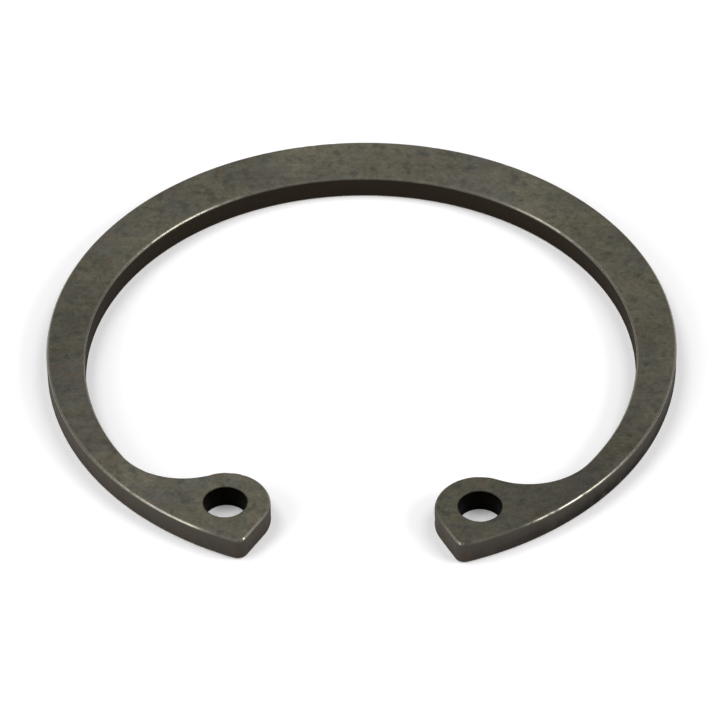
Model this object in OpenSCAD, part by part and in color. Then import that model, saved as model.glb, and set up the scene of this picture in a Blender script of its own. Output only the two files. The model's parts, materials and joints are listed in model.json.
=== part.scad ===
/* [Ring] */
// Outer diameter of the ring when nothing squeezes it
ring_d = 37.8; // [32:0.1:45]
// Thickness of the strip that the ring is stamped from
thick = 1.5; // [1:0.05:2.5]
// Radial width of the band opposite the gap
back_w = 3.65; // [2.8:0.05:4.5]
// Radial width to which the band would narrow at the middle of the gap
front_w = 1.2; // [0.8:0.05:1.8]

/* [Lugs] */
// Radial width of a lug, measured in from the rim
lug_w = 5.3; // [4.6:0.05:6]
// Clear width between the two lugs
gap_w = 9.5; // [6:0.1:12]
// Distance between the corners where the end faces would meet the rim
tip_gap = 12.5; // [10:0.1:14]
// Diameter of the plier holes
hole_d = 2.5; // [1.5:0.05:3.2]
// Radius of the inside blend from the band into a lug
blend_r = 4.3; // [3:0.1:6]
// Radius of the corner between an end face and the rim
tip_r = 0.6; // [0.4:0.05:0.9]

/* [Edges] */
// Radius of the edges of the upper face, where the punch drew the metal down
upper_edge_r = 0.25; // [0.1:0.01:0.3]
// Radius of the edges of the lower face, where tumbling took off the burr
lower_edge_r = 0.15; // [0.1:0.01:0.3]
// Radius of the edges of the plier holes
hole_edge_r = 0.1; // [0.05:0.01:0.2]

/* [Hidden] */
$fn = 180;

// How far a cutting shape stands out past the surface that it cuts
cut = 0.2;
// Metal left between a lug's round pad and the rim
rim_margin = 0.05;
// Olive grey of phosphated spring steel
phosphate_grey = [0.34, 0.33, 0.28];

function polar(length, angle) = length * [cos(angle), sin(angle)];
function heading(v) = atan2(v[1], v[0]);
function mirrored(p) = [-p[0], p[1]];
// Angle between sides a and b of a triangle whose third side is c
function corner_angle(a, b, c) = acos((a * a + b * b - c * c) / (2 * a * b));

// The rim is centred on the origin. The opening's circle is set towards the
// gap, so the band is widest at the back and tapers into the lugs.
ring_r = ring_d / 2;
opening_r = ring_r - (back_w + front_w) / 2;
opening_c = [0, (front_w - back_w) / 2];

// Right-hand lug: a round pad about its plier hole, just inside the rim
pad_r = (lug_w - rim_margin) / 2;
hole_circle_r = ring_r - rim_margin - pad_r;
pad_c = polar(hole_circle_r, asin((gap_w / 2 + pad_r) / hole_circle_r) - 90);

// The blend touches the opening's circle from inside and the pad from outside
blend_c = opening_c + polar(opening_r - blend_r, heading(pad_c - opening_c)
    + corner_angle(opening_r - blend_r, norm(pad_c - opening_c), pad_r + blend_r));

// The end face runs straight from the rim and touches the pad on the gap's side
face_corner = polar(ring_r, asin(tip_gap / 2 / ring_r) - 90);
face_dir = heading(pad_c - face_corner) + asin(pad_r / norm(pad_c - face_corner));
face_normal = face_dir + 90;

// The tip's circle touches the end face and the rim from inside. It lies on a
// line tip_r inside the end face, at ring_r - tip_r from the ring's centre.
tip_line = face_corner - polar(tip_r, face_normal);
tip_along = tip_line * polar(1, face_dir);
tip_c = tip_line + polar(-tip_along
    - sqrt(tip_along * tip_along - tip_line * tip_line + pow(ring_r - tip_r, 2)), face_dir);
face_w = norm(tip_c - pad_c);

// Points outside the ring, on the planes where two curves of the outline meet
far = 2 * ring_r;
opening_joint = opening_c + polar(far, heading(blend_c - opening_c));
pad_joint = pad_c + polar(far, face_normal);
tip_joint = tip_c + polar(far, face_normal);
rim_joint = polar(far, heading(tip_c));
// Point beyond the pad, between the joint planes on either side of it
pad_beyond = pad_c + polar(far, (heading(blend_c - pad_c) + face_normal) / 2);

// Moves in a whole step and a fine one, so that curves which touch each other
// meet closely, however far from the origin they are
module at(p) {
  whole = [round(p[0]), round(p[1])];
  translate(whole) translate(p - whole) children();
}

// What a rounded edge takes off a square corner
module corner_waste(r) difference() {
  square(r + cut);
  circle(r);
}

// Section of a disc or bar of the ring's thickness, with rounded edges at r
module solid_section(r) difference() {
  square([r, thick]);
  translate([r - upper_edge_r, thick - upper_edge_r]) corner_waste(upper_edge_r);
  translate([r - lower_edge_r, lower_edge_r]) mirror([0, 1]) corner_waste(lower_edge_r);
}

// Section of an opening of radius r through the ring, with its edges flared
module opening_section(r, upper_r, lower_r) {
  translate([0, -cut]) square([r, thick + 2 * cut]);
  translate([r + upper_r, thick - upper_r]) mirror([1, 0]) corner_waste(upper_r);
  translate([r + lower_r, lower_r]) rotate(180) corner_waste(lower_r);
}

module round_disc(centre, r) at(centre) rotate_extrude() solid_section(r);

module flared_opening(centre, r, upper_r = upper_edge_r, lower_r = lower_edge_r)
  at(centre) rotate_extrude() opening_section(r, upper_r, lower_r);

// Upright prism that keeps or removes a stretch of the ring
module sector(points)
  translate([0, 0, -cut]) linear_extrude(thick + 2 * cut) polygon(points);

// Band between the two lugs, around the back of the ring
module band() difference() {
  round_disc([0, 0], ring_r);
  flared_opening(opening_c, opening_r);
  sector([opening_joint, blend_c, mirrored(blend_c), mirrored(opening_joint)]);
}

// Root of a lug, from the band's end to the tip, with the inside blend
module lug_root() difference() {
  intersection() {
    round_disc([0, 0], ring_r);
    sector([opening_joint, blend_c, pad_c, tip_c, rim_joint]);
  }
  flared_opening(blend_c, blend_r);
}

// Rounded side of the pad that stands into the opening and the gap
module lug_pad() intersection() {
  round_disc(pad_c, pad_r);
  sector([pad_c, blend_c, pad_beyond, pad_joint]);
}

// Straight end face between the pad and the tip
module end_face() intersection() {
  at(pad_c) rotate(face_normal) rotate([90, 0, 0]) translate([0, 0, -face_w - cut])
    linear_extrude(face_w + 2 * cut) solid_section(pad_r);
  sector([pad_c, pad_joint, tip_joint, tip_c]);
}

// Small round at the point where the end face reaches the rim
module tip() intersection() {
  round_disc(tip_c, tip_r);
  sector([tip_c, tip_joint, rim_joint]);
}

module lug() difference() {
  union() {
    lug_root();
    lug_pad();
    end_face();
    tip();
  }
  flared_opening(pad_c, hole_d / 2, hole_edge_r, hole_edge_r);
}

// The whole ring is one stamped piece, the same on both sides of the gap
module retaining_ring() color(phosphate_grey) {
  band();
  lug();
  mirror([1, 0, 0]) lug();
}

retaining_ring();
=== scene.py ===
"""Looks of an internal retaining ring: stamped spring steel, tumbled and phosphated."""
import json
import logging
import math
import random
from dataclasses import dataclass
from enum import Enum

import bmesh
import bpy
from mathutils import Matrix, Vector, noise


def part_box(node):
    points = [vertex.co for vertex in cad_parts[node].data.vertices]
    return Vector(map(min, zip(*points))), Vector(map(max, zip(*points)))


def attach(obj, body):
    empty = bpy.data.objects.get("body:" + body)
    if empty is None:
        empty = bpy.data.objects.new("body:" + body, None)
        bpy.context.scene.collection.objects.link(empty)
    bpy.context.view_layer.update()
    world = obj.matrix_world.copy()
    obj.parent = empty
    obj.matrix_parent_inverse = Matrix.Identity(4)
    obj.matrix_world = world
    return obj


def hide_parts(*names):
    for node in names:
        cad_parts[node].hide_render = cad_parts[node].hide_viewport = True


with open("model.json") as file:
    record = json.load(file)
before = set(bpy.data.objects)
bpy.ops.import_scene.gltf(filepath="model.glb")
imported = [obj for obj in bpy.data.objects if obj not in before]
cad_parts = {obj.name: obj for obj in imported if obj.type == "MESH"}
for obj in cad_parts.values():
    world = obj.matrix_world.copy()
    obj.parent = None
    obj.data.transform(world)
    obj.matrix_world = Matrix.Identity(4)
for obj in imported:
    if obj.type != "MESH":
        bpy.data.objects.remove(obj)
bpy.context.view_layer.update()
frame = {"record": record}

NODE = "retaining_ring"
MM = 0.001
QUARTER_TURN = math.pi / 2
log = logging.getLogger("retaining_ring")

Colour = tuple[float, float, float, float]
PerAxis = tuple[float, float, float]
Mesh = bmesh.types.BMesh
Point = bmesh.types.BMVert
Socket = bpy.types.NodeSocket


def polar(length: float, angle: float) -> Vector:
    """A flat vector of this length at this angle, in radians from +X."""
    return Vector((length * math.cos(angle), length * math.sin(angle), 0.0))


def heading(vector: Vector) -> float:
    """The angle of a vector seen from above, in radians from +X."""
    return math.atan2(vector.y, vector.x)


def towards(azimuth: float, elevation: float) -> Vector:
    """Direction from the ring to a lamp or viewer, in degrees: azimuth 0 is in front, 90 at the right."""
    turn, rise = math.radians(azimuth), math.radians(elevation)
    return Vector((math.sin(turn) * math.cos(rise), -math.cos(turn) * math.cos(rise), math.sin(rise)))


def held(value: float) -> float:
    """A value held between 0 and 1."""
    return max(0.0, min(1.0, value))


def mount(name: str) -> dict:
    """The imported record's mount of this name."""
    return next(m for m in frame["record"]["mounts"] if m["name"] == name)


class Zone(Enum):
    """Float attributes of the ring's points that its finish reads."""

    EDGE = "edge_wear"
    WALL = "sheared_wall"
    DEPTH = "depth"
    HOLE = "plier_hole"
    INNER = "opening_side"


class Sum(Enum):
    """What a node works out from two values."""

    ADD = "ADD"
    SUBTRACT = "SUBTRACT"
    MULTIPLY = "MULTIPLY"
    MINIMUM = "MINIMUM"
    MAXIMUM = "MAXIMUM"


class Blend(Enum):
    """How a node lays one colour over another."""

    MIX = "MIX"
    MULTIPLY = "MULTIPLY"


@dataclass(frozen=True)
class Arc:
    """A stretch of the outline: round about a centre, through a signed sweep."""

    centre: Vector
    radius: float
    sweep: float
    fewest_steps: int = 4

    def steps(self, chord_error: float) -> int:
        """How many straight steps keep the arc within this distance of true, in metres."""
        step = 2.0 * math.acos(1.0 - chord_error / self.radius)
        return max(self.fewest_steps, math.ceil(abs(self.sweep) / step))


@dataclass(frozen=True)
class RingSizes:
    """The ring's driving sizes, in metres, and the circles that they give."""

    rim_r: float
    hole_c: Vector
    hole_r: float
    thick: float
    back_w: float = 3.65 * MM
    front_w: float = 1.2 * MM
    lug_w: float = 5.3 * MM
    rim_margin: float = 0.05 * MM
    tip_gap: float = 12.5 * MM
    tip_r: float = 0.6 * MM
    blend_r: float = 4.3 * MM
    upper_edge_r: float = 0.25 * MM
    lower_edge_r: float = 0.15 * MM
    hole_edge_r: float = 0.1 * MM

    @property
    def pad_r(self) -> float:
        """Radius of a lug's round pad."""
        return (self.lug_w - self.rim_margin) / 2

    @property
    def opening_r(self) -> float:
        """Radius of the opening's circle."""
        return self.rim_r - (self.back_w + self.front_w) / 2

    @property
    def opening_c(self) -> Vector:
        """Centre of the opening's circle, set towards the gap."""
        return Vector((0.0, (self.front_w - self.back_w) / 2, 0.0))

    @property
    def blend_c(self) -> Vector:
        """Centre of the blend, which touches the opening's circle and the pad.

        Returns:
            The centre, in the plane of the outline.
        """
        across = self.hole_c - self.opening_c
        near, far = self.opening_r - self.blend_r, self.pad_r + self.blend_r
        turn = math.acos((near**2 + across.length**2 - far**2) / (2 * near * across.length))
        return self.opening_c + polar(near, heading(across) + turn)

    @property
    def face_corner(self) -> Vector:
        """Where the line of the end face would meet the rim."""
        return polar(self.rim_r, math.asin(self.tip_gap / 2 / self.rim_r) - QUARTER_TURN)

    @property
    def face_dir(self) -> float:
        """Direction of the end face, from the rim to the pad that it touches."""
        across = self.hole_c - self.face_corner
        return heading(across) + math.asin(self.pad_r / across.length)

    @property
    def face_normal(self) -> float:
        """Direction that the end face looks in, towards the gap."""
        return self.face_dir + QUARTER_TURN

    @property
    def tip_c(self) -> Vector:
        """Centre of the tip's round, which touches the end face and the rim.

        Returns:
            The centre, in the plane of the outline.
        """
        line = self.face_corner - polar(self.tip_r, self.face_normal)
        along = line.dot(polar(1.0, self.face_dir))
        reach = math.sqrt(along**2 - line.length_squared + (self.rim_r - self.tip_r) ** 2)
        return line + polar(-along - reach, self.face_dir)

    def right_half(self) -> list[Arc]:
        """The right half's outline, from the back of the rim round to the back of the opening.

        Returns:
            The arcs of the rim, the tip, the pad, the blend and the opening. The straight end face joins
            the tip's arc to the pad's.
        """
        pad_end = heading(self.blend_c - self.hole_c)
        opening_start = heading(self.blend_c - self.opening_c)
        rim_end = heading(self.tip_c)
        return [
            Arc(Vector(), self.rim_r, rim_end - QUARTER_TURN),
            Arc(self.tip_c, self.tip_r, self.face_normal - 2 * math.pi - rim_end),
            Arc(self.hole_c, self.pad_r, pad_end - self.face_normal),
            Arc(self.blend_c, self.blend_r, opening_start - pad_end + math.pi),
            Arc(self.opening_c, self.opening_r, QUARTER_TURN - opening_start),
        ]


@dataclass(frozen=True)
class ShearedWall:
    """How a wall cut by the punch looks: a smooth sheared band above, a torn one below.

    The sheared share is of the wall's height, and the fades are shares of the torn band's. An edge of the
    mesh is upright if it rises by more than the upright share of the ring's thickness, and a point lies on
    a wall if its normal doesn't tilt up or down by more than the largest tilt.
    """

    rows: int = 7
    sheared_share: float = 0.4
    torn_depth: float = 0.025 * MM
    torn_size: float = 0.45 * MM
    fade_above: float = 0.3
    fade_below: float = 0.2
    upright_share: float = 0.5
    largest_tilt: float = 0.5


@dataclass(frozen=True)
class Nicks:
    """Small dents in the upper edges, spread by dice, and one deeper dent in the front of each tip.

    The drop is how far the tip's dent lies below the upper face, as a share of the edge's radius. The
    coated share is how much of its coat the middle of a dent keeps.
    """

    count: int = 60
    seed: int = 11
    reach_mm: tuple[float, float] = (0.12, 0.30)
    depth_mm: tuple[float, float] = (0.005, 0.018)
    tip_deg: float = -80.0
    tip_reach: float = 0.32 * MM
    tip_depth: float = 0.07 * MM
    tip_drop: float = 0.3
    coated_share: float = 0.6


@dataclass(frozen=True)
class EdgeWear:
    """Where tumbling wore the rounded edges bare, and where they keep most of their coat.

    The crown is the most worn part of a rounded edge, in degrees round from the flat face. The coat ends
    at the coated distances, from the tip's centre or from the middle of the back, and the fades are the
    distances over which it thins out.
    """

    crown_deg: float = 46.0
    crown_spread_deg: float = 22.0
    crown_strength: float = 1.5
    coated_share: float = 0.85
    bare_corner_deg: float = -128.0
    bare_corner_reach: float = 0.35 * MM
    bare_corner_fade: float = 0.15 * MM
    coated_far_left: float = 2.7 * MM
    coated_far_right: float = 4.6 * MM
    coated_far_fade: float = 1.2 * MM
    coated_back: float = 10.5 * MM
    coated_back_fade: float = 3.0 * MM


@dataclass
class RetainingRing:
    """The ring itself, stamped from strip and tumbled."""

    sizes: RingSizes
    wall: ShearedWall = ShearedWall()
    nicks: Nicks = Nicks()
    wear: EdgeWear = EdgeWear()
    chord_error: float = 0.0004 * MM
    weld_distance: float = 0.002 * MM
    hole_sides: int = 72
    upper_segments: int = 9
    lower_segments: int = 4
    hole_segments: int = 3
    sharp_turn: float = 1.0
    edge_tolerance: float = 0.01 * MM
    face_margin: float = 0.03 * MM
    face_tolerance: float = 0.001 * MM
    face_flatness: float = 0.999
    # How steep the surface is where the finish of the walls begins, how much steeper it is where that
    # finish is whole, and how fast the painted shade of the plier holes sets in with steepness
    wall_from: float = 0.3
    wall_span: float = 0.5
    hole_gain: float = 3.0

    def trace(self, bm: Mesh) -> None:
        """Draws the ring's outline on the floor, one spun vertex after another.

        Args:
            bm: the mesh that takes the outline.
        """
        sizes = self.sizes
        last = bm.verts.new((0.0, sizes.rim_r, 0.0))
        for arc in sizes.right_half():
            if arc.centre == sizes.hole_c:
                foot = arc.centre + polar(arc.radius, sizes.face_normal)
                made = bmesh.ops.extrude_vert_indiv(bm, verts=[last])["verts"][0]
                bmesh.ops.translate(bm, verts=[made], vec=foot - made.co)
                last = made
            spun = bmesh.ops.spin(
                bm, geom=[last], cent=arc.centre, axis=(0, 0, 1), dvec=(0, 0, 0),
                angle=arc.sweep, steps=arc.steps(self.chord_error), use_merge=False,
            )
            last = next(g for g in spun["geom_last"] if isinstance(g, Point))
        bmesh.ops.create_circle(
            bm, cap_ends=False, radius=sizes.hole_r, segments=self.hole_sides,
            matrix=Matrix.Translation(sizes.hole_c),
        )
        bmesh.ops.mirror(bm, geom=bm.verts[:] + bm.edges[:], matrix=Matrix(), merge_dist=0.0, axis="X")
        bmesh.ops.remove_doubles(bm, verts=bm.verts, dist=self.weld_distance)

    def stamp(self, bm: Mesh) -> None:
        """Fills the outline and gives it the strip's thickness.

        Args:
            bm: the mesh that holds the outline.
        """
        bmesh.ops.triangle_fill(bm, use_beauty=True, use_dissolve=False, edges=bm.edges[:])
        raised = bmesh.ops.extrude_face_region(bm, geom=bm.faces[:])["geom"]
        top = [g for g in raised if isinstance(g, Point)]
        bmesh.ops.translate(bm, verts=top, vec=(0, 0, self.sizes.thick))
        bmesh.ops.recalc_face_normals(bm, faces=bm.faces[:])

    def in_hole(self, point: Vector) -> bool:
        """Whether a point lies on the wall or edge of a plier hole."""
        across = Vector((abs(point.x), point.y, 0.0)) - self.sizes.hole_c
        return across.length < self.sizes.hole_r + 2 * self.sizes.hole_edge_r

    def round_edges(self, bm: Mesh) -> None:
        """Rounds the edges of both faces and of the plier holes, as tumbling does.

        Args:
            bm: the stamped ring, with its edges still sharp.
        """
        sizes = self.sizes
        for height, radius, segments in (
            (sizes.thick, sizes.upper_edge_r, self.upper_segments),
            (0.0, sizes.lower_edge_r, self.lower_segments),
        ):
            for hole in (True, False):
                edges = [
                    e for e in bm.edges
                    if all(abs(v.co.z - height) < self.edge_tolerance for v in e.verts)
                    and e.calc_face_angle(0.0) > self.sharp_turn
                    and self.in_hole(e.verts[0].co) == hole
                ]
                bmesh.ops.bevel(
                    bm, geom=edges, offset=sizes.hole_edge_r if hole else radius,
                    offset_type="OFFSET", segments=self.hole_segments if hole else segments,
                    profile=0.5, affect="EDGES", clamp_overlap=False, material=-1,
                )

    def frame_faces(self, bm: Mesh) -> None:
        """Sets a narrow margin inside each flat face, which keeps it flat in the light.

        Args:
            bm: the ring, with its edges rounded.
        """
        for height in (self.sizes.thick, 0.0):
            flat = [
                f for f in bm.faces
                if abs(f.normal.z) > self.face_flatness
                and abs(f.calc_center_median().z - height) < self.face_tolerance
            ]
            bmesh.ops.inset_region(bm, faces=flat, thickness=self.face_margin, use_even_offset=True)

    def tear_walls(self, bm: Mesh) -> None:
        """Divides the walls and roughens the torn band below the sheared one.

        Args:
            bm: the ring, with its edges rounded and its walls still in one strip.
        """
        wall = self.wall
        upright = [
            e for e in bm.edges
            if abs(e.verts[0].co.z - e.verts[1].co.z) > wall.upright_share * self.sizes.thick
        ]
        bmesh.ops.subdivide_edges(bm, edges=upright, cuts=wall.rows, use_grid_fill=True)
        bm.normal_update()
        moves = {}
        for v in bm.verts:
            depth = self.torn_share(v.co.z)
            if depth <= 0.0 or depth >= 1.0 or abs(v.normal.z) > wall.largest_tilt:
                continue
            rough = noise.noise(v.co / wall.torn_size) * 0.5 + 0.5
            share = min(1.0, depth / wall.fade_above) * min(1.0, (1.0 - depth) / wall.fade_below)
            moves[v] = -v.normal * (wall.torn_depth * rough * share)
        for v, move in moves.items():
            v.co += move

    def torn_share(self, z: float) -> float:
        """How far down the torn band a height is.

        Args:
            z: the height above the lower face.

        Returns:
            0 at the band's top and 1 where the lower rounded edge starts.
        """
        top = self.sizes.thick - self.sizes.upper_edge_r
        bottom = self.sizes.lower_edge_r
        start = top - (top - bottom) * self.wall.sheared_share
        return (start - z) / (start - bottom)

    def nick_edges(self, bm: Mesh) -> dict[Point, float]:
        """Presses small dents into the rounded edges, and a deeper one into the front of each tip.

        Args:
            bm: the ring, with its edges rounded.

        Returns:
            How far inside a dent each touched point is: 1 at its middle, 0 at its brim.
        """
        nicks, sizes = self.nicks, self.sizes
        dice = random.Random(nicks.seed)
        edge = [v for v in bm.verts if self.edge_share(v) > 0.0 and v.co.z > sizes.thick / 2]
        dents = []
        for _ in range(nicks.count):
            spot = dice.choice(edge).co.copy()
            reach = dice.uniform(*nicks.reach_mm) * MM
            dents.append((spot, reach, dice.uniform(*nicks.depth_mm) * MM))
        front = polar(sizes.tip_r, math.radians(nicks.tip_deg))
        crown = Vector((0.0, 0.0, sizes.thick - nicks.tip_drop * sizes.upper_edge_r))
        for side in (-1, 1):
            tip = Vector((side * sizes.tip_c.x, sizes.tip_c.y, 0.0))
            dents.append((tip + front + crown, nicks.tip_reach, nicks.tip_depth))
        inside = {}
        for spot, reach, depth in dents:
            for v in edge:
                away = (v.co - spot).length / reach
                if away < 1.0:
                    share = (1.0 - away * away) ** 2
                    v.co -= v.normal * (depth * share)
                    inside[v] = max(inside.get(v, 0.0), share)
        return inside

    def edge_share(self, v: Point) -> float:
        """How worn a point is by its place on a rounded edge.

        Args:
            v: a point of the ring.

        Returns:
            1 on the crown of a rounded edge, down to 0 on the faces and walls.
        """
        sizes, wear = self.sizes, self.wear
        hole = self.in_hole(v.co)
        upper = sizes.hole_edge_r if hole else sizes.upper_edge_r
        lower = sizes.hole_edge_r if hole else sizes.lower_edge_r
        drop = min((sizes.thick - v.co.z) / upper, v.co.z / lower)
        if not 0.0 <= drop < 1.0:
            return 0.0
        turn = math.degrees(math.acos(held(1.0 - drop)))
        fall = wear.crown_strength * abs(turn - wear.crown_deg) / wear.crown_spread_deg
        return held(wear.crown_strength - fall)

    def coat_kept(self, v: Point) -> float:
        """How much of its coat an edge keeps.

        It is kept beside the tips, apart from their bare corners with the end faces, and at the back of
        the opening, which other rings hardly reach in the tumbler.

        Args:
            v: a point of the ring.

        Returns:
            The share, from 0 to 1.
        """
        sizes, wear = self.sizes, self.wear
        point = Vector((abs(v.co.x), v.co.y, 0.0))
        corner = sizes.tip_c + polar(sizes.tip_r, math.radians(wear.bare_corner_deg))
        rise = ((point - corner).length - wear.bare_corner_reach) / wear.bare_corner_fade
        far = wear.coated_far_left if v.co.x < 0.0 else wear.coated_far_right
        fall = (far - (point - sizes.tip_c).length) / wear.coated_far_fade
        inside = point.length < sizes.rim_r - sizes.back_w / 2 and v.co.y > 0.0
        back = (wear.coated_back - abs(v.co.x)) / wear.coated_back_fade if inside else 0.0
        return wear.coated_share * max(held(min(rise, fall)), held(back))

    def zones(self, bm: Mesh, dents: dict[Point, float]) -> dict[Zone, list[float]]:
        """What each point's zone attributes are, in the order of the points.

        Args:
            bm: the finished ring.
            dents: how far inside a dent each dented point is. Dents keep their dark coat.

        Returns:
            For each zone, one value from 0 to 1 per point.
        """
        found = {zone: [] for zone in Zone}
        for v in bm.verts:
            hole = float(self.in_hole(v.co))
            steep = 1.0 - abs(v.normal.z)
            inward = -v.normal.dot(Vector((v.co.x, v.co.y, 0.0)).normalized())
            dent = 1.0 - self.nicks.coated_share * dents.get(v, 0.0)
            bare = (1.0 - hole) * dent * (1.0 - self.coat_kept(v))
            found[Zone.EDGE].append(self.edge_share(v) * bare)
            found[Zone.WALL].append(held((steep - self.wall_from) / self.wall_span))
            found[Zone.DEPTH].append(1.0 - v.co.z / self.sizes.thick)
            found[Zone.HOLE].append(hole * min(1.0, steep * self.hole_gain))
            found[Zone.INNER].append(held(0.5 + inward))
        return found

    def build(self) -> bpy.types.Object:
        """Makes the ring's mesh object, at rest where its CAD node is.

        Returns:
            The ring, linked to the scene and not yet dressed.
        """
        bm = bmesh.new()
        self.trace(bm)
        self.stamp(bm)
        self.round_edges(bm)
        self.frame_faces(bm)
        self.tear_walls(bm)
        bm.normal_update()
        dents = self.nick_edges(bm)
        bmesh.ops.recalc_face_normals(bm, faces=bm.faces[:])
        bm.normal_update()
        bmesh.ops.triangulate(bm, faces=[f for f in bm.faces if len(f.verts) > 4])
        for face in bm.faces:
            face.smooth = True
        bm.verts.index_update()
        zones = self.zones(bm, dents)
        mesh = bpy.data.meshes.new("stamped_ring")
        bm.to_mesh(mesh)
        bm.free()
        for zone, values in zones.items():
            layer = mesh.attributes.new(zone.value, "FLOAT", "POINT")
            layer.data.foreach_set("value", values)
        ring = bpy.data.objects.new("stamped_ring", mesh)
        bpy.context.scene.collection.objects.link(ring)
        return ring


@dataclass(frozen=True)
class Pattern:
    """A noise pattern: how fine it is, how many layers it has and how strong the finer ones are."""

    scale: float
    detail: float
    roughness: float


@dataclass(frozen=True)
class Ramp:
    """How one range of values turns into another. Values beyond it are held at its ends."""

    low: float
    high: float
    to_low: float = 0.0
    to_high: float = 1.0


class NodeTree:
    """A small helper that adds and joins the nodes of a material or world."""

    def __init__(self, tree: bpy.types.NodeTree) -> None:
        """Empties the tree of a material or world, to start afresh."""
        self.tree = tree
        tree.nodes.clear()

    def fill(self, socket: Socket, value: object) -> None:
        """Joins an input to another node's output, or gives it a plain value.

        Args:
            socket: the input.
            value: an output socket, or a number, colour or vector.
        """
        if isinstance(value, Socket):
            self.tree.links.new(value, socket)
        else:
            socket.default_value = value

    def add(self, kind: str, inputs: dict | None = None, **settings: object) -> bpy.types.Node:
        """Adds a node, sets its fields and fills or joins its inputs.

        Args:
            kind: the node's type, such as ShaderNodeTexNoise.
            inputs: input names or numbers, each with a plain value or an output socket.
            settings: the node's own fields.

        Returns:
            The new node.
        """
        node = self.tree.nodes.new(kind)
        for field_name, value in settings.items():
            setattr(node, field_name, value)
        for key, value in (inputs or {}).items():
            self.fill(node.inputs[key], value)
        return node

    def noise(self, vector: Socket, pattern: Pattern) -> Socket:
        """A noise pattern's value.

        Args:
            vector: the coordinates that the pattern lies in.
            pattern: the pattern.

        Returns:
            The value, from 0 to 1.
        """
        return self.add("ShaderNodeTexNoise", {
            "Vector": vector, "Scale": pattern.scale, "Detail": pattern.detail,
            "Roughness": pattern.roughness,
        }).outputs["Fac"]

    def stretch(self, vector: Socket, scale: PerAxis) -> Socket:
        """Coordinates scaled by a different amount along each axis."""
        return self.add("ShaderNodeMapping", {"Vector": vector, "Scale": scale}).outputs["Vector"]

    def shift(self, vector: Socket, by: PerAxis) -> Socket:
        """Coordinates moved by a distance along each axis."""
        return self.add("ShaderNodeMapping", {"Vector": vector, "Location": by}).outputs["Vector"]

    def remap(self, value: Socket, ramp: Ramp) -> Socket:
        """A value turned by a ramp.

        Args:
            value: the value.
            ramp: the range that it has and the range that it gets.

        Returns:
            The new value.
        """
        return self.add("ShaderNodeMapRange", {
            "Value": value, "From Min": ramp.low, "From Max": ramp.high,
            "To Min": ramp.to_low, "To Max": ramp.to_high,
        }).outputs["Result"]

    def math(self, operation: Sum, first: object, second: object) -> Socket:
        """The result of an operation on two values."""
        return self.add("ShaderNodeMath", {0: first, 1: second}, operation=operation.value).outputs[0]

    def mix(self, share: object, first: object, second: object, blend: Blend = Blend.MIX) -> Socket:
        """Lays a second colour over a first.

        Args:
            share: how much of the second colour shows.
            first: the first colour.
            second: the second colour, or a value.
            blend: how it is laid over the first.

        Returns:
            The mixed colour.
        """
        node = self.add("ShaderNodeMix", data_type="RGBA", blend_type=blend.value)
        for name, value in (("Factor", share), ("A", first), ("B", second)):
            self.fill(next(s for s in node.inputs if s.name == name and s.enabled), value)
        return next(s for s in node.outputs if s.enabled)

    def attribute(self, zone: Zone) -> Socket:
        """A zone's value on the surface."""
        return self.add("ShaderNodeAttribute", attribute_name=zone.value).outputs["Fac"]


@dataclass(frozen=True)
class Surface:
    """What the finish reads at a point of the ring: its place, its zones and the shared patterns."""

    place: Socket
    zones: dict[Zone, Socket]
    patch: Socket
    grain: Socket
    rolled: Socket
    streak: Socket


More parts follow.
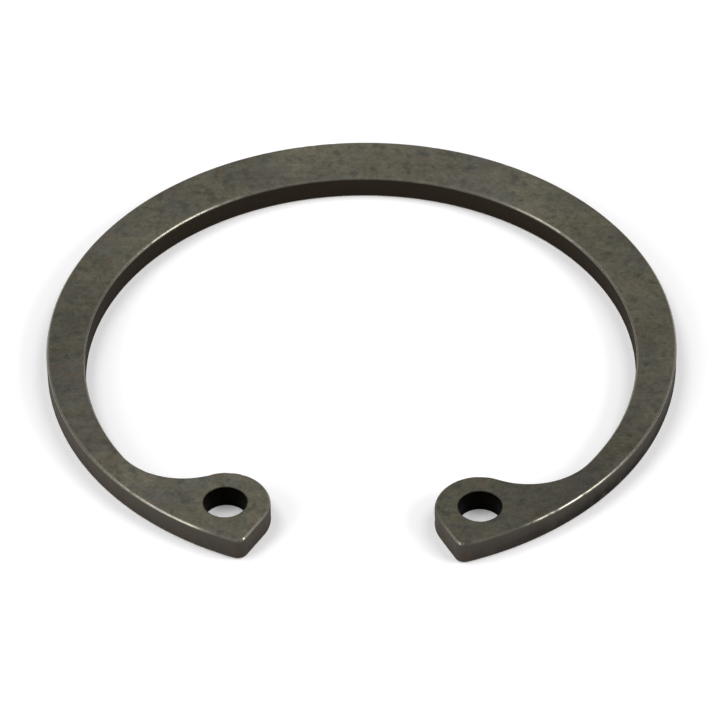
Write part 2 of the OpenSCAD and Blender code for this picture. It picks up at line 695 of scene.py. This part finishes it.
@dataclass(frozen=True)
class PhosphatedSteel:
    """Dark phosphate over spring steel: mottled on the faces, rubbed on the edges, dark on the walls,
    partly as painted shade, and painted black in the plier holes as shade.
    """

    olive: Colour = (0.129, 0.124, 0.088, 1.0)
    grey: Colour = (0.100, 0.098, 0.083, 1.0)
    brown: Colour = (0.113, 0.091, 0.064, 1.0)
    soot: Colour = (0.067, 0.062, 0.048, 1.0)
    # The walls' colour is darker than the faces': partly the cut metal's own tone, partly painted shade of
    # the upright walls.
    wall: Colour = (0.064, 0.057, 0.046, 1.0)
    # Darker towards the bottom of the walls: partly the torn metal's own tone, partly painted shade near
    # the floor.
    torn: Colour = (0.050, 0.042, 0.034, 1.0)
    # Painted shade: this darker colour is laid on the walls of the right-hand side, standing in for their
    # shade.
    right_wall_shade: Colour = (0.012, 0.010, 0.008, 1.0)
    # Painted shade: this near-black colour darkens the walls on the side of the opening, standing in for
    # their shade.
    opening_wall_shade: Colour = (0.012, 0.007, 0.002, 1.0)
    rust: Colour = (0.080, 0.053, 0.029, 1.0)
    # Painted shade: the plier holes' walls are painted near black, standing in for the shade inside them.
    hole_shade: Colour = (0.004, 0.003, 0.002, 1.0)
    burnished: Colour = (0.295, 0.274, 0.226, 1.0)

    tones: Pattern = Pattern(60.0, 2.0, 0.5)
    blotches: Pattern = Pattern(240.0, 4.0, 0.55)
    torn_edge: Pattern = Pattern(700.0, 4.0, 0.6)
    rubbing: Pattern = Pattern(900.0, 5.0, 0.7)
    mottle: Pattern = Pattern(1000.0, 4.0, 0.9)
    patches: Pattern = Pattern(1500.0, 3.0, 0.6)
    fracture: Pattern = Pattern(2600.0, 4.0, 0.65)
    grain: Pattern = Pattern(5200.0, 4.0, 0.65)
    crystals: Pattern = Pattern(9000.0, 2.0, 0.6)
    lines: Pattern = Pattern(1.0, 3.0, 0.6)
    rolled_lines: PerAxis = (90.0, 2800.0, 90.0)
    sheared_lines: PerAxis = (3000.0, 3000.0, 260.0)
    tone_shift: PerAxis = (0.1942, -0.1575, 0.0)

    grey_by_blotch: Ramp = Ramp(0.40, 0.60)
    brown_by_patch: Ramp = Ramp(0.5, 0.66, 0.0, 0.75)
    soot_by_patch: Ramp = Ramp(0.48, 0.34, 0.0, 0.75)
    soot_by_grain: Ramp = Ramp(0.5, 0.72, 0.0, 0.6)
    soot_by_rolling: Ramp = Ramp(0.4, 0.7, 0.0, 0.3)
    light_by_tone: Ramp = Ramp(0.25, 0.75, 0.545, 1.24)
    light_by_mottle: Ramp = Ramp(0.3, 0.7, 0.71, 1.29)
    torn_and_shade_by_depth: Ramp = Ramp(0.45, 1.15)
    right_shade_by_x: Ramp = Ramp(6.0 * MM, 14.0 * MM)
    rust_by_patch: Ramp = Ramp(0.56, 0.70, 0.0, 0.6)
    soot_by_streak: Ramp = Ramp(0.4, 0.7, 0.0, 0.15)
    opening_shade_by_side: Ramp = Ramp(0.5, 1.0, 0.0, 0.92)
    worn_by_rubbing: Ramp = Ramp(0.36, 0.64, 0.75, 1.0)
    rough_by_grain: Ramp = Ramp(0.3, 0.7, 0.52, 0.66)
    height_by_depth: Ramp = Ramp(0.3, 0.6, 0.0, 2.2)
    height_by_wear: Ramp = Ramp(0.0, 1.0, 1.0, 0.15)

    torn_unevenness: float = 0.7
    wall_roughness: float = 0.15
    wear_smoothing: float = 0.40
    crystal_height: float = 0.6
    rolled_height: float = 0.4
    streak_height: float = 0.45
    bump_strength: float = 0.3
    bump_distance: float = 0.012 * MM
    bare_metal: float = 0.85
    coat_gloss: float = 0.12

    def read(self, n: NodeTree) -> Surface:
        """Adds the nodes that several parts of the finish read.

        Args:
            n: the material's nodes.

        Returns:
            Their outputs.
        """
        place = n.add("ShaderNodeTexCoord").outputs["Object"]
        return Surface(
            place=place,
            zones={zone: n.attribute(zone) for zone in Zone},
            patch=n.noise(place, self.patches),
            grain=n.noise(place, self.grain),
            rolled=n.noise(n.stretch(place, self.rolled_lines), self.lines),
            streak=n.noise(n.stretch(place, self.sheared_lines), self.lines),
        )

    def face_colour(self, n: NodeTree, at: Surface) -> Socket:
        """The mottled coat of the flat faces.

        Args:
            n: the material's nodes.
            at: the outputs that the finish reads.

        Returns:
            The colour.
        """
        blotch = n.noise(at.place, self.blotches)
        tone = n.noise(n.shift(at.place, self.tone_shift), self.tones)
        mottle = n.noise(at.place, self.mottle)
        light = n.remap(tone, self.light_by_tone)
        light = n.math(Sum.MULTIPLY, light, n.remap(mottle, self.light_by_mottle))
        coat = n.mix(n.remap(blotch, self.grey_by_blotch), self.olive, self.grey)
        coat = n.mix(n.remap(at.patch, self.brown_by_patch), coat, self.brown)
        coat = n.mix(n.remap(at.patch, self.soot_by_patch), coat, self.soot)
        coat = n.mix(n.remap(at.grain, self.soot_by_grain), coat, self.soot)
        coat = n.mix(n.remap(at.rolled, self.soot_by_rolling), coat, self.soot)
        return n.mix(1.0, coat, light, Blend.MULTIPLY)

    def wall_colour(self, n: NodeTree, at: Surface) -> Socket:
        """The walls, with painted shade: darker towards the bottom, partly as torn metal and partly as
        painted shade near the floor, darker on the right-hand side and near black on the side of the
        opening.

        Args:
            n: the material's nodes.
            at: the outputs that the finish reads.

        Returns:
            The colour.
        """
        across = n.add("ShaderNodeSeparateXYZ", {"Vector": at.place}).outputs["X"]
        # Painted shade: the walls grow darker towards the right-hand side.
        torn = n.mix(n.remap(across, self.right_shade_by_x), self.torn, self.right_wall_shade)
        uneven = n.math(Sum.MULTIPLY, n.noise(at.place, self.torn_edge), self.torn_unevenness)
        depth = n.math(Sum.ADD, at.zones[Zone.DEPTH], uneven)
        # Darker towards the bottom: partly torn metal, partly painted shade near the floor.
        sides = n.mix(n.remap(depth, self.torn_and_shade_by_depth), self.wall, torn)
        sides = n.mix(n.remap(at.patch, self.rust_by_patch), sides, self.rust)
        sides = n.mix(n.remap(at.streak, self.soot_by_streak), sides, self.soot)
        # Painted shade: the walls that face into the opening are painted near black.
        return n.mix(n.remap(at.zones[Zone.INNER], self.opening_shade_by_side), sides, self.opening_wall_shade)

    def relief(self, n: NodeTree, at: Surface, worn: Socket) -> Socket:
        """The fine relief: phosphate crystals and rolling lines, and torn metal on the walls.

        Args:
            n: the material's nodes.
            at: the outputs that the finish reads.
            worn: how worn the surface is, which smooths it.

        Returns:
            The shading normal.
        """
        wall, depth = at.zones[Zone.WALL], at.zones[Zone.DEPTH]
        crystals = n.math(Sum.MULTIPLY, n.noise(at.place, self.crystals), self.crystal_height)
        rolled = n.math(Sum.MULTIPLY, at.rolled, self.rolled_height)
        streak = n.math(Sum.MULTIPLY, n.math(Sum.MULTIPLY, at.streak, wall), self.streak_height)
        fracture = n.math(Sum.MULTIPLY, n.noise(at.place, self.fracture), wall)
        fracture = n.math(Sum.MULTIPLY, fracture, n.remap(depth, self.height_by_depth))
        height = n.math(Sum.ADD, crystals, rolled)
        height = n.math(Sum.ADD, height, streak)
        height = n.math(Sum.ADD, height, fracture)
        height = n.math(Sum.MULTIPLY, height, n.remap(worn, self.height_by_wear))
        return n.add("ShaderNodeBump", {
            "Strength": self.bump_strength, "Distance": self.bump_distance, "Height": height,
        }).outputs["Normal"]

    def make(self) -> bpy.types.Material:
        """Makes the material.

        Returns:
            The material, with its nodes.
        """
        material = bpy.data.materials.new("phosphated_steel")
        material.use_nodes = True
        n = NodeTree(material.node_tree)
        at = self.read(n)
        wall, hole = at.zones[Zone.WALL], at.zones[Zone.HOLE]
        rubbed = n.remap(n.noise(at.place, self.rubbing), self.worn_by_rubbing)
        worn = n.math(Sum.MULTIPLY, at.zones[Zone.EDGE], rubbed)

        # The upright walls take the wall colour, which holds painted shade.
        colour = n.mix(wall, self.face_colour(n, at), self.wall_colour(n, at))
        # Painted shade: the plier holes are painted near black.
        colour = n.mix(hole, colour, self.hole_shade)
        colour = n.mix(worn, colour, self.burnished)
        rough = n.remap(at.grain, self.rough_by_grain)
        rough = n.math(Sum.ADD, rough, n.math(Sum.MULTIPLY, wall, self.wall_roughness))
        rough = n.math(Sum.SUBTRACT, rough, n.math(Sum.MULTIPLY, worn, self.wear_smoothing))
        # Painted shade: the plier holes are fully metallic as well, so that with their near-black colour
        # they take no diffuse light.
        metal = n.math(Sum.MAXIMUM, n.math(Sum.MULTIPLY, worn, self.bare_metal), hole)
        shader = n.add("ShaderNodeBsdfPrincipled", {
            "Base Color": colour, "Roughness": rough, "Metallic": metal,
            "Specular IOR Level": self.coat_gloss, "Normal": self.relief(n, at, worn),
        })
        n.add("ShaderNodeOutputMaterial", {"Surface": shader.outputs["BSDF"]})
        return material


@dataclass(frozen=True)
class PaleSweep:
    """A pale studio floor: plain and matt, and white to the camera."""

    colour: Colour = (0.92, 0.908, 0.914, 1.0)
    lift: float = 0.20

    def make(self) -> bpy.types.Material:
        """Makes the material.

        Returns:
            The material, with its nodes.
        """
        material = bpy.data.materials.new("pale_sweep")
        material.use_nodes = True
        n = NodeTree(material.node_tree)
        path = n.add("ShaderNodeLightPath").outputs
        seen = n.math(Sum.ADD, path["Is Camera Ray"], path["Is Glossy Ray"])
        seen = n.math(Sum.ADD, seen, path["Is Transmission Ray"])
        seen = n.math(Sum.MINIMUM, seen, 1.0)
        matt = n.add("ShaderNodeBsdfDiffuse", {"Color": self.colour})
        glow = n.add("ShaderNodeEmission", {"Strength": n.math(Sum.MULTIPLY, seen, self.lift)})
        both = n.add("ShaderNodeAddShader", {0: matt.outputs[0], 1: glow.outputs[0]})
        n.add("ShaderNodeOutputMaterial", {"Surface": both.outputs[0]})
        return material


@dataclass(frozen=True)
class Softbox:
    """A soft lamp with a flat square or oblong face, aimed at the ring."""

    name: str
    azimuth: float
    elevation: float
    distance: float
    width: float
    height: float
    power: float

    def hang(self) -> None:
        """Adds the lamp to the scene."""
        lamp = bpy.data.lights.new(self.name, "AREA")
        lamp.shape = "RECTANGLE"
        lamp.size, lamp.size_y = self.width, self.height
        lamp.energy = self.power
        holder = bpy.data.objects.new(self.name, lamp)
        away = towards(self.azimuth, self.elevation)
        holder.location = away * self.distance
        holder.rotation_euler = away.to_track_quat("Z", "Y").to_euler()
        bpy.context.scene.collection.objects.link(holder)


@dataclass(frozen=True)
class Camera:
    """The photograph's camera: where it stands and how much it takes in."""

    elevation: float = 41.42
    azimuth: float = 2.55
    roll: float = -0.80
    distance: float = 302.4 * MM
    focal_px: float = 5022.8
    centre_px: tuple[float, float] = (361.6, 358.0)
    image_px: float = 720.0
    sensor: float = 36.0
    nearest: float = 0.01
    farthest: float = 20.0

    def place(self) -> None:
        """Adds the camera and makes it the scene's own."""
        back = towards(self.azimuth, self.elevation)
        right = polar(1.0, math.radians(self.azimuth))
        up = back.cross(right)
        data = bpy.data.cameras.new("camera")
        data.sensor_width = self.sensor
        data.lens = self.focal_px * self.sensor / self.image_px
        data.shift_x = (self.image_px / 2 - self.centre_px[0]) / self.image_px
        data.shift_y = (self.centre_px[1] - self.image_px / 2) / self.image_px
        data.clip_start, data.clip_end = self.nearest, self.farthest
        holder = bpy.data.objects.new("camera", data)
        axes = Matrix((right, up, back)).transposed().to_4x4()
        spin = Matrix.Rotation(math.radians(self.roll), 4, "Z")
        holder.matrix_world = Matrix.Translation(back * self.distance) @ axes @ spin
        bpy.context.scene.collection.objects.link(holder)
        bpy.context.scene.camera = holder


@dataclass(frozen=True)
class Studio:
    """The plain studio around the ring."""

    floor_size: float = 6.0
    ambient: float = 0.20
    lamps: tuple[Softbox, ...] = (
        Softbox("softbox_right", 106.0, 62.0, distance=0.8, width=0.36, height=0.36, power=1.5),
        Softbox("softbox_left", -106.0, 62.0, distance=0.8, width=0.36, height=0.36, power=1.85),
        Softbox("strip_right", 78.0, 34.0, distance=0.6, width=0.28, height=0.18, power=1.4),
        Softbox("strip_left", -72.0, 37.0, distance=0.6, width=0.32, height=0.18, power=0.6),
        Softbox("fill_left", -52.0, 18.0, distance=0.8, width=0.40, height=0.30, power=2.15),
    )

    def lay_floor(self) -> None:
        """Lays the floor in the plane that the ring rests on."""
        bm = bmesh.new()
        bmesh.ops.create_grid(bm, x_segments=1, y_segments=1, size=self.floor_size / 2)
        mesh = bpy.data.meshes.new("floor")
        bm.to_mesh(mesh)
        bm.free()
        mesh.materials.append(PaleSweep().make())
        floor = bpy.data.objects.new("floor", mesh)
        bpy.context.scene.collection.objects.link(floor)

    def light_world(self) -> None:
        """Sets the dim, even light from all round."""
        world = bpy.data.worlds.new("surround")
        world.use_nodes = True
        n = NodeTree(world.node_tree)
        light = n.add("ShaderNodeBackground", {"Strength": self.ambient})
        n.add("ShaderNodeOutputWorld", {"Surface": light.outputs[0]})
        bpy.context.scene.world = world

    def build(self) -> None:
        """Lays the floor, hangs the lamps and sets the surround and the view."""
        self.lay_floor()
        self.light_world()
        for lamp in self.lamps:
            lamp.hang()
        Camera().place()
        bpy.context.scene.view_settings.view_transform = "Standard"


def ring_sizes() -> RingSizes:
    """Gathers the ring's sizes, with the rim, the holes and the thickness as packed.

    Returns:
        The sizes.
    """
    hole = mount("plier_hole_right")
    low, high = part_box(NODE)
    return RingSizes(
        rim_r=mount("groove_rim")["dims"]["r_mm"] * MM,
        hole_c=Vector((hole["pos_m"][0], hole["pos_m"][1], 0.0)),
        hole_r=hole["dims"]["r_mm"] * MM,
        thick=high.z - low.z,
    )


def main() -> None:
    """Builds the ring and the studio."""
    logging.basicConfig(level=logging.INFO, format="%(message)s")
    Studio().build()
    ring = RetainingRing(ring_sizes()).build()
    ring.data.materials.append(PhosphatedSteel().make())
    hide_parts(NODE)
    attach(ring, "root")
    log.info("%s: %d points, %d faces", ring.name, len(ring.data.vertices), len(ring.data.polygons))


if __name__ == "__main__":
    main()
